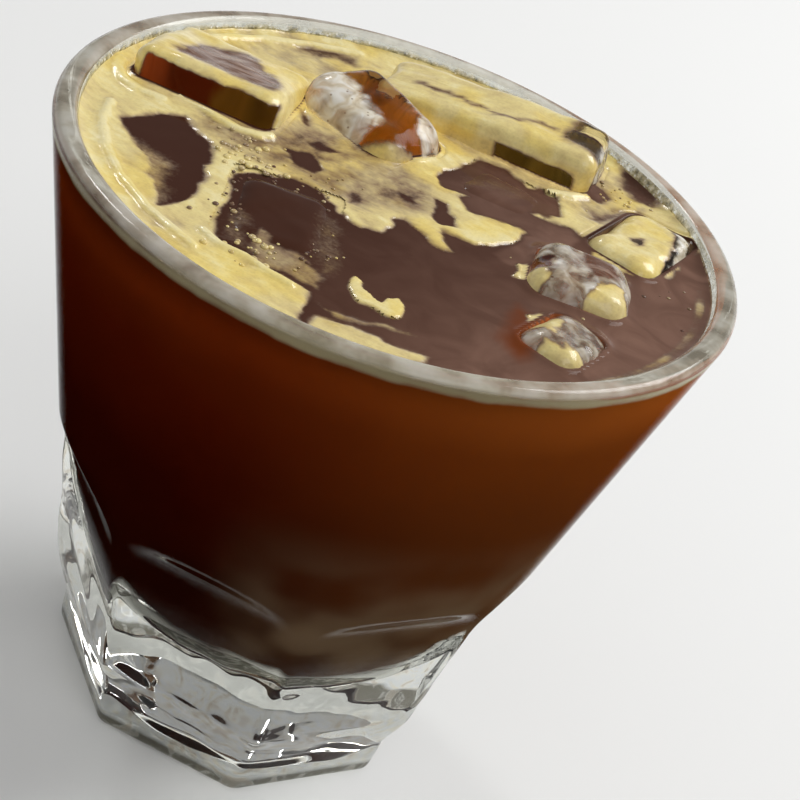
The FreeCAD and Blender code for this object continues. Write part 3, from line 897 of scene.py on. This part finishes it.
# What lies on each lump, seen from above: kind, amount, softness of the edge, outline. Each lump
# starts with the crema of the surface round it. A window is bare ice in an upright face, and a
# stain is coffee in a thin skin.
EVERYWHERE = [(-60, -60), (60, -60), (60, 60), (-60, 60)]
BROWN_PATCH = [(-33.4, 1.6), (-20.4, 1.6), (-20.6, 6), (-24, 8.6), (-27, 12), (-30, 11), (-33, 8.6)]
ON_ICE = {
    "ice_left": [
        ("foam", 0.85, 1.0, EVERYWHERE),
        ("foam", 0.0, 1.2, BROWN_PATCH),
        ("stain", 0.95, 1.4, BROWN_PATCH),
        ("window", 0.0, 0.35, [(-35.6, -8), (-18.4, -8), (-18.4, 0.4), (-35.6, -0.6)]),
    ],
    "ice_middle_left": [
        ("foam", 0.75, 1.0, EVERYWHERE),
        ("foam", 0.0, 1.0, [(-19, 19), (-12, 20.5), (-5, 17.5), (1, 14), (-1, 8), (-9, 4), (-15, 5.5),
            (-20, 8), (-18, 14)]),
        ("frost", 0.62, 1.4, [(-19, 8), (-9, 4), (-7, 8.5), (-11, 12), (-16, 15.5), (-20, 16)]),
        ("frost", 0.55, 0.7, [(-8, 17.5), (-3.6, 16.4), (0.6, 14.2), (-0.6, 9), (-3, 10), (-4.6, 13.6)]),
    ],
    "ice_back": [
        ("foam", 0.82, 1.0, EVERYWHERE),
        ("window", 0.05, 0.5, [(5.4, 14), (16.6, 14), (16.8, 21), (12, 21.6), (6, 20.6)]),
        ("foam", 0.35, 0.5, [(-8, 24.4), (4, 23.2), (12, 26), (12, 26.8), (4, 24.2), (-8, 25.4)]),
        ("foam", 0.1, 1.2, [(13, 24), (16, 22.6), (20.6, 22), (21, 36), (14.4, 36)]),
        ("frost", 0.42, 0.4, [(18.6, 20), (20.8, 20), (20.8, 36), (18.8, 36)]),
    ],
    "ice_right": [
        ("foam", 0.0, 1.0, EVERYWHERE),
        ("frost", 0.46, 1.0, EVERYWHERE),
        ("frost", 0.0, 0.6, [(23.4, 1.4), (26.4, 1.2), (27.6, -2.6), (26, -4), (24.2, -2)]),
        ("stain", 0.8, 0.8, [(23.0, 1.8), (26.8, 1.4), (28.0, -2.6), (26, -4.4), (23.8, -2)]),
        ("frost", 0.0, 0.5, [(18, -4.4), (20, -4), (20, -6.6), (18.4, -6.4)]),
        ("foam", 0.8, 0.5, [(16, -6), (18.4, -6.6), (21.4, -8), (20.6, -12), (16, -10)]),
        ("foam", 0.8, 0.5, [(26, -5.6), (29, -3.4), (31, -6), (30, -11), (26, -9.4)]),
    ],
    "ice_right_back": [
        ("foam", 0.88, 1.0, EVERYWHERE),
        ("foam", 0.25, 0.5, [(26.8, 12.4), (28.4, 12.8), (28.8, 11), (27.6, 10.2)]),
        ("foam", 0.05, 0.6, [(31.4, 22), (40, 24), (40, 4), (33, 6), (32.2, 14)]),
        ("frost", 0.62, 0.5, [(31.6, 22), (34, 20), (34.8, 12), (33.8, 10), (32.6, 14)]),
    ],
    "ice_right_front": [
        ("foam", 0.0, 1.0, EVERYWHERE),
        ("frost", 0.42, 1.0, EVERYWHERE),
        ("foam", 0.85, 0.6, [(20, -15.4), (22.6, -14.4), (25, -16.4), (24.8, -20), (21, -19)]),
        ("foam", 0.85, 0.6, [(24, -21.4), (27.6, -21), (30, -20.6), (30, -26), (24, -26)]),
    ],
    "ice_front": [
        ("frost", 0.34, 1.2, [(-7, -12), (-3.4, -13), (1, -27), (-3, -30), (-6, -22)]),
        ("frost", 0.28, 1.2, [(-14, -20), (-11, -21), (-8.4, -30), (-12, -30)]),
        ("frost", 0.3, 0.6, [(-12, -14), (-10.6, -14), (-9.4, -19), (-10.8, -19)]),
    ],
}

ICE_STAIN = (0.15, 0.065, 0.035)
MELTED = 1.25  # how much rounder than cut a lump's edges are
FLUSH_EDGE = 4.5
FLUSH_DENT = 0.4
FLUSH_DROP = 0.35

# Heights above the level between which a window shows in a lump's upright face.
WINDOW = {"ice_left": (-2.0, 3.3), "ice_back": (-2.0, 2.6)}


def block_grid(steps):
    """Points and faces of a cube from -1 to 1, each side divided into steps, joined up."""
    points, faces, seen = [], [], {}

    def point(p):
        key = tuple(np.round(p, 6))
        if key not in seen:
            seen[key] = len(points)
            points.append(p)
        return seen[key]

    t = np.linspace(-1, 1, steps + 1)
    for axis in range(3):
        for sign in (-1, 1):
            rows = []
            for a in t:
                row = []
                for b in t:
                    p = np.zeros(3)
                    p[axis], p[(axis + 1) % 3], p[(axis + 2) % 3] = sign, a, b
                    row.append(point(p))
                rows.append(row)
            for i in range(steps):
                for j in range(steps):
                    face = (rows[i][j], rows[i + 1][j], rows[i + 1][j + 1], rows[i][j + 1])
                    faces.append(face if sign > 0 else face[::-1])
    return np.array(points), faces


def make_ice(name, unit, faces, material):
    """A block with melted edges and an uneven skin, kept inside the glass."""
    middle, half, edge, spin = ice_frame(name)
    edge = edge * MELTED if name in THROUGH_ICE else FLUSH_EDGE
    core = np.clip(unit * half, edge - half, half - edge)
    away = unit * half - core
    away = away / np.maximum(np.linalg.norm(away, axis=1, keepdims=True), 1e-9)
    local = core + away * edge
    seed = 200 + 10 * list(ICE).index(name)
    a, b, c = local.T
    dent = 0.40 * clouds(a + c, b - c, 6.0, seed, 2) + 0.08 * clouds(a - c, b + c, 2.0, seed + 5, 2)
    if name not in THROUGH_ICE:
        dent *= FLUSH_DENT
        middle[2] -= FLUSH_DROP
    points = (local + away * dent[:, None]) @ spin.T + middle
    most = hollow_radius(points[:, 2]) - WALL_GAP
    points[:, :2] *= np.minimum(1, most / np.hypot(points[:, 0], points[:, 1]))[:, None]
    item = new_object(name + "_lump", points, faces, material)
    x, y, z = points.T
    rise = z - LEVEL
    foam, film = crema_cover(x, y)
    frost, stain = np.zeros(len(points)), np.zeros(len(points))
    warp_x = x + 0.7 * clouds(x, y, 2.2, seed + 11)
    warp_y = y + 0.7 * clouds(x, y, 2.2, seed + 21)
    grain = clouds(x, y, 1.1, seed + 31, 3)
    low, high = WINDOW.get(name, (0, 0))
    for kind, amount, soft, corners in ON_ICE.get(name, []):
        share = smoothstep(-soft, soft, depth_inside(warp_x, warp_y, corners) + 0.3 * grain)
        if kind == "window":
            share = smoothstep(-soft, soft, depth_inside(x, y, corners) + 0.25)
            share = share * smoothstep(low - 0.3, low + 0.3, rise + 0.12 * grain)
            share = share * smoothstep(high + 0.3, high - 0.3, rise + 0.12 * grain)
        if kind == "stain":
            stain = np.maximum(stain, share * amount)
        elif kind == "frost":
            frost = frost * (1 - share) + share * (amount + 0.15 * grain)
        else:
            foam = foam * (1 - share) + share * (amount + 0.10 * grain * (amount > 0.2))
    if name in THROUGH_ICE:
        foam = foam * smoothstep(-1.6, -0.8, rise)
    paint(item, foam=np.clip(foam, 0, 1), frost=np.clip(frost, 0, 1), film=film,
          tint=np.column_stack([np.tile(ICE_STAIN, (len(points), 1)), stain]))
    return item


# ---- bubbles and film on the wall

# Clusters of bubbles on the surface: middle, spread, count, smallest and largest radius, crema.
BUBBLES = [
    (-12.5, -14.0, 2.4, 30, 0.15, 0.42, 0.30),
    (-12.5, -21.0, 2.6, 44, 0.12, 0.45, 0.42),
    (-8.0, -17.0, 2.6, 20, 0.12, 0.32, 0.25),
    (-16.5, -9.0, 2.4, 40, 0.20, 0.60, 0.70),
    (-20.0, -6.0, 2.2, 18, 0.20, 0.50, 0.62),
    (-8.5, -8.5, 2.0, 18, 0.15, 0.42, 0.50),
    (-2.5, -22.0, 2.2, 22, 0.12, 0.36, 0.40),
    (-7.0, -28.0, 2.6, 34, 0.15, 0.50, 0.70),
    (22.0, -7.0, 3.0, 16, 0.12, 0.36, 0.55),
    (34.5, 4.0, 3.0, 10, 0.12, 0.36, 0.30),
    (24.0, 24.0, 3.5, 30, 0.15, 0.36, 0.55),
]
DOME = 0.55  # a bubble's height over its radius
FILM_FROM = 0.55  # above the level
FILM_TO = 0.5  # below the rim
FILM_OFF_WALL = 0.07


def make_bubbles(material):
    """Small domes that stand half out of the coffee and its crema."""
    rng = np.random.default_rng(7)
    turns, rows, sunk = 12, 5, 0.3
    theta = angles(turns)
    verts, faces, foam = [], [], []
    for mid_x, mid_y, spread, count, least, most, cover in BUBBLES:
        for _ in range(count):
            x, y = mid_x + rng.normal(0, spread), mid_y + rng.normal(0, spread)
            size = least + (most - least) * rng.random() ** 2
            amount = np.clip(cover + rng.normal(0, 0.12), 0, 1)
            here = np.array([x]), np.array([y])
            if any(footprint(*here, name)[0] > -0.3 for name in THROUGH_ICE):
                continue
            z = liquid_height(*here, 0.0)[0]
            z += 0.30 * smoothstep(0.22, 1.0, crema_cover(*here)[0][0])
            base = len(verts)
            for row in range(rows):
                tilt = (math.pi / 2 + sunk) * row / rows - sunk
                height = z + DOME * size * math.sin(tilt)
                verts.extend(ring_points(theta, size * math.cos(tilt), height) + (x, y, 0))
            verts.append((x, y, z + DOME * size))
            for row in range(rows - 1):
                faces += band_faces(base + row * turns, turns)
            last, tip = base + (rows - 1) * turns, base + rows * turns
            faces += [(last + j, last + k, tip) for j, k in around(turns)]
            foam += [amount] * (rows * turns + 1)
    item = new_object("foam_bubbles", verts, faces, material)
    # The domes carry half of the bare coffee's milky film and painted sheen.
    paint(item, foam=foam, film=0.5 * np.ones(len(verts)), tint=np.zeros((len(verts), 4)))
    return item


def wall_film_look():
    """Specks of crema and coffee that cling to the glass above the level, with white dots painted on as
    highlights.
    """
    t = looks("wall_film")
    spots = t.noise(0.9, 4.0, 0.7)
    painted_glints = t.remap(t.cells(0.8), 0.28, 0.14)
    patch = t.remap(t.noise(2.2, 3.0, 0.6), 0.30, 0.55, 0.35, 1.0)
    amount = t.math("MULTIPLY", t.layer("foam"), t.math("MAXIMUM", painted_glints, patch), clamp=True)
    colour = t.ramp(spots, [
        (0.36, (0.12, 0.10, 0.04)), (0.45, (0.32, 0.28, 0.14)), (0.56, (0.56, 0.50, 0.30)),
        (0.68, (0.85, 0.80, 0.62)),
    ])
    # Painted highlight: bright white dots stand for glints on droplets.
    colour = t.blend(painted_glints, colour, (0.93, 0.92, 0.88))
    clear = t.node("BsdfTransparent").outputs["BSDF"]
    return t.finish(t.mix(amount, clear, t.skin(colour, 0.15, IOR=1.4)))


def make_wall_film(material):
    count = 720
    theta = angles(count)
    heights = np.linspace(LEVEL + FILM_FROM, RIM_Z - FILM_TO, 8)
    points, foam = [], []
    reach = 0.55 + 0.45 * clouds(12 * np.cos(theta), 12 * np.sin(theta), 5.0, 401, 3)
    back = smoothstep(-0.35, 0.5, np.sin(theta) - 0.45 * np.cos(theta))
    for z in heights:
        r = hollow_radius(z) - FILM_OFF_WALL
        points.append(ring_points(theta, r, z))
        up = (z - heights[0]) / (heights[-1] - heights[0])
        foam.append((0.50 + 0.45 * back) * smoothstep(reach + 0.75, reach - 0.05, up))
    faces = []
    for i in range(len(heights) - 1):
        faces += band_faces(i * count, count)
    item = new_object("wall_film", np.concatenate(points), faces, material)
    paint(item, foam=np.concatenate(foam))
    return item


# ---- floor, light and camera

FLOOR_HALF = 3000
# The sky's strength falls from the horizon up: between two heights, from one strength to another.
SKY = (0.06, 0.36, 0.95, 0.30)
MIDDLE = (0, 0, 0.05)  # what the lamps point at
VIEW_ANGLES = (10.85, 36.394, -19.697, 2.503, 3.163)  # azimuth, elevation, roll, pan and tilt
VIEW_DISTANCE = 0.2102786
VIEW_AIM = (0, 0, 0.0387)
VIEW_LENS = 68.49


def make_stage():
    corners = [(x * FLOOR_HALF, y * FLOOR_HALF, 0) for x, y in ((-1, -1), (1, -1), (1, 1), (-1, 1))]
    t = looks("floor")
    pale = t.finish(t.skin((0.86, 0.86, 0.85), 0.7))
    new_object("floor", corners, [(0, 1, 2, 3)], pale, smooth=False)
    world = bpy.data.worlds.new("studio")
    bpy.context.scene.world = world
    t = Tree(world)
    up = t.split(t.node("TexCoord").outputs["Generated"])["Z"]
    sky = t.fed("Background", Color=t.remap(up, *SKY))
    t.fed("OutputWorld", Surface=sky.outputs["Background"])


def lamp(name, place, size, power):
    data = bpy.data.lights.new(name, "AREA")
    data.shape = "SQUARE"
    data.size = size
    data.energy = power
    item = bpy.data.objects.new(name, data)
    item.location = place
    item.rotation_mode = "QUATERNION"
    item.rotation_quaternion = (Vector(MIDDLE) - Vector(place)).to_track_quat("-Z", "Y")
    bpy.context.scene.collection.objects.link(item)


def turned(a, b, angle):
    """Two axes at right angles, turned in their own plane."""
    c, s = math.cos(angle), math.sin(angle)
    return a * c - b * s, a * s + b * c


def make_camera():
    """Looks down on the glass from its front, rolled to one side."""
    azimuth, elevation, roll, pan, tilt = (math.radians(a) for a in VIEW_ANGLES)
    turn = Matrix.Rotation(azimuth, 3, "Z")
    forward = turn @ Vector((0, math.cos(elevation), -math.sin(elevation)))
    right = turn @ Vector((1, 0, 0))
    up = turn @ Vector((0, math.sin(elevation), math.cos(elevation)))
    right, ahead = turned(right, forward, pan)
    up, ahead = turned(up, ahead, tilt)
    across, rise = turned(right, up, roll)
    data = bpy.data.cameras.new("camera")
    data.sensor_width = 36.0
    data.lens = VIEW_LENS
    data.clip_start, data.clip_end = 0.01, 20.0
    camera = bpy.data.objects.new("camera", data)
    matrix = Matrix((across, rise, -ahead)).transposed().to_4x4()
    matrix.translation = Vector(VIEW_AIM) - VIEW_DISTANCE * forward
    camera.matrix_world = matrix
    bpy.context.scene.collection.objects.link(camera)
    bpy.context.scene.camera = camera


# ---- the whole


def add(item, node):
    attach(item, "root")
    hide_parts(node)


grid = disc_grid()
fields = (*grid, *crema_cover(*grid))
surface = surface_look()
add(make_tumbler(glass_look()), "tumbler")
add(make_coffee(coffee_look(), surface, *fields), "coffee")
add(make_crema(surface, *fields), "crema")
ice_unit, ice_faces = block_grid(34)
ice_material = ice_look()
for lump in ICE:
    look = ice_material if lump in THROUGH_ICE else surface
    add(make_ice(lump, ice_unit, ice_faces, look), lump)

for extra in (make_bubbles(surface), make_wall_film(wall_film_look())):
    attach(extra, "root")

make_stage()
lamp("key", (0.55, 0.60, 0.88), 0.6, 9.0)
lamp("spark", (-0.55, 0.55, 0.80), 0.14, 1.3)
lamp("fill", (0.45, -0.45, 0.90), 0.5, 1.6)
make_camera()
bpy.context.scene.view_settings.view_transform = "Standard"
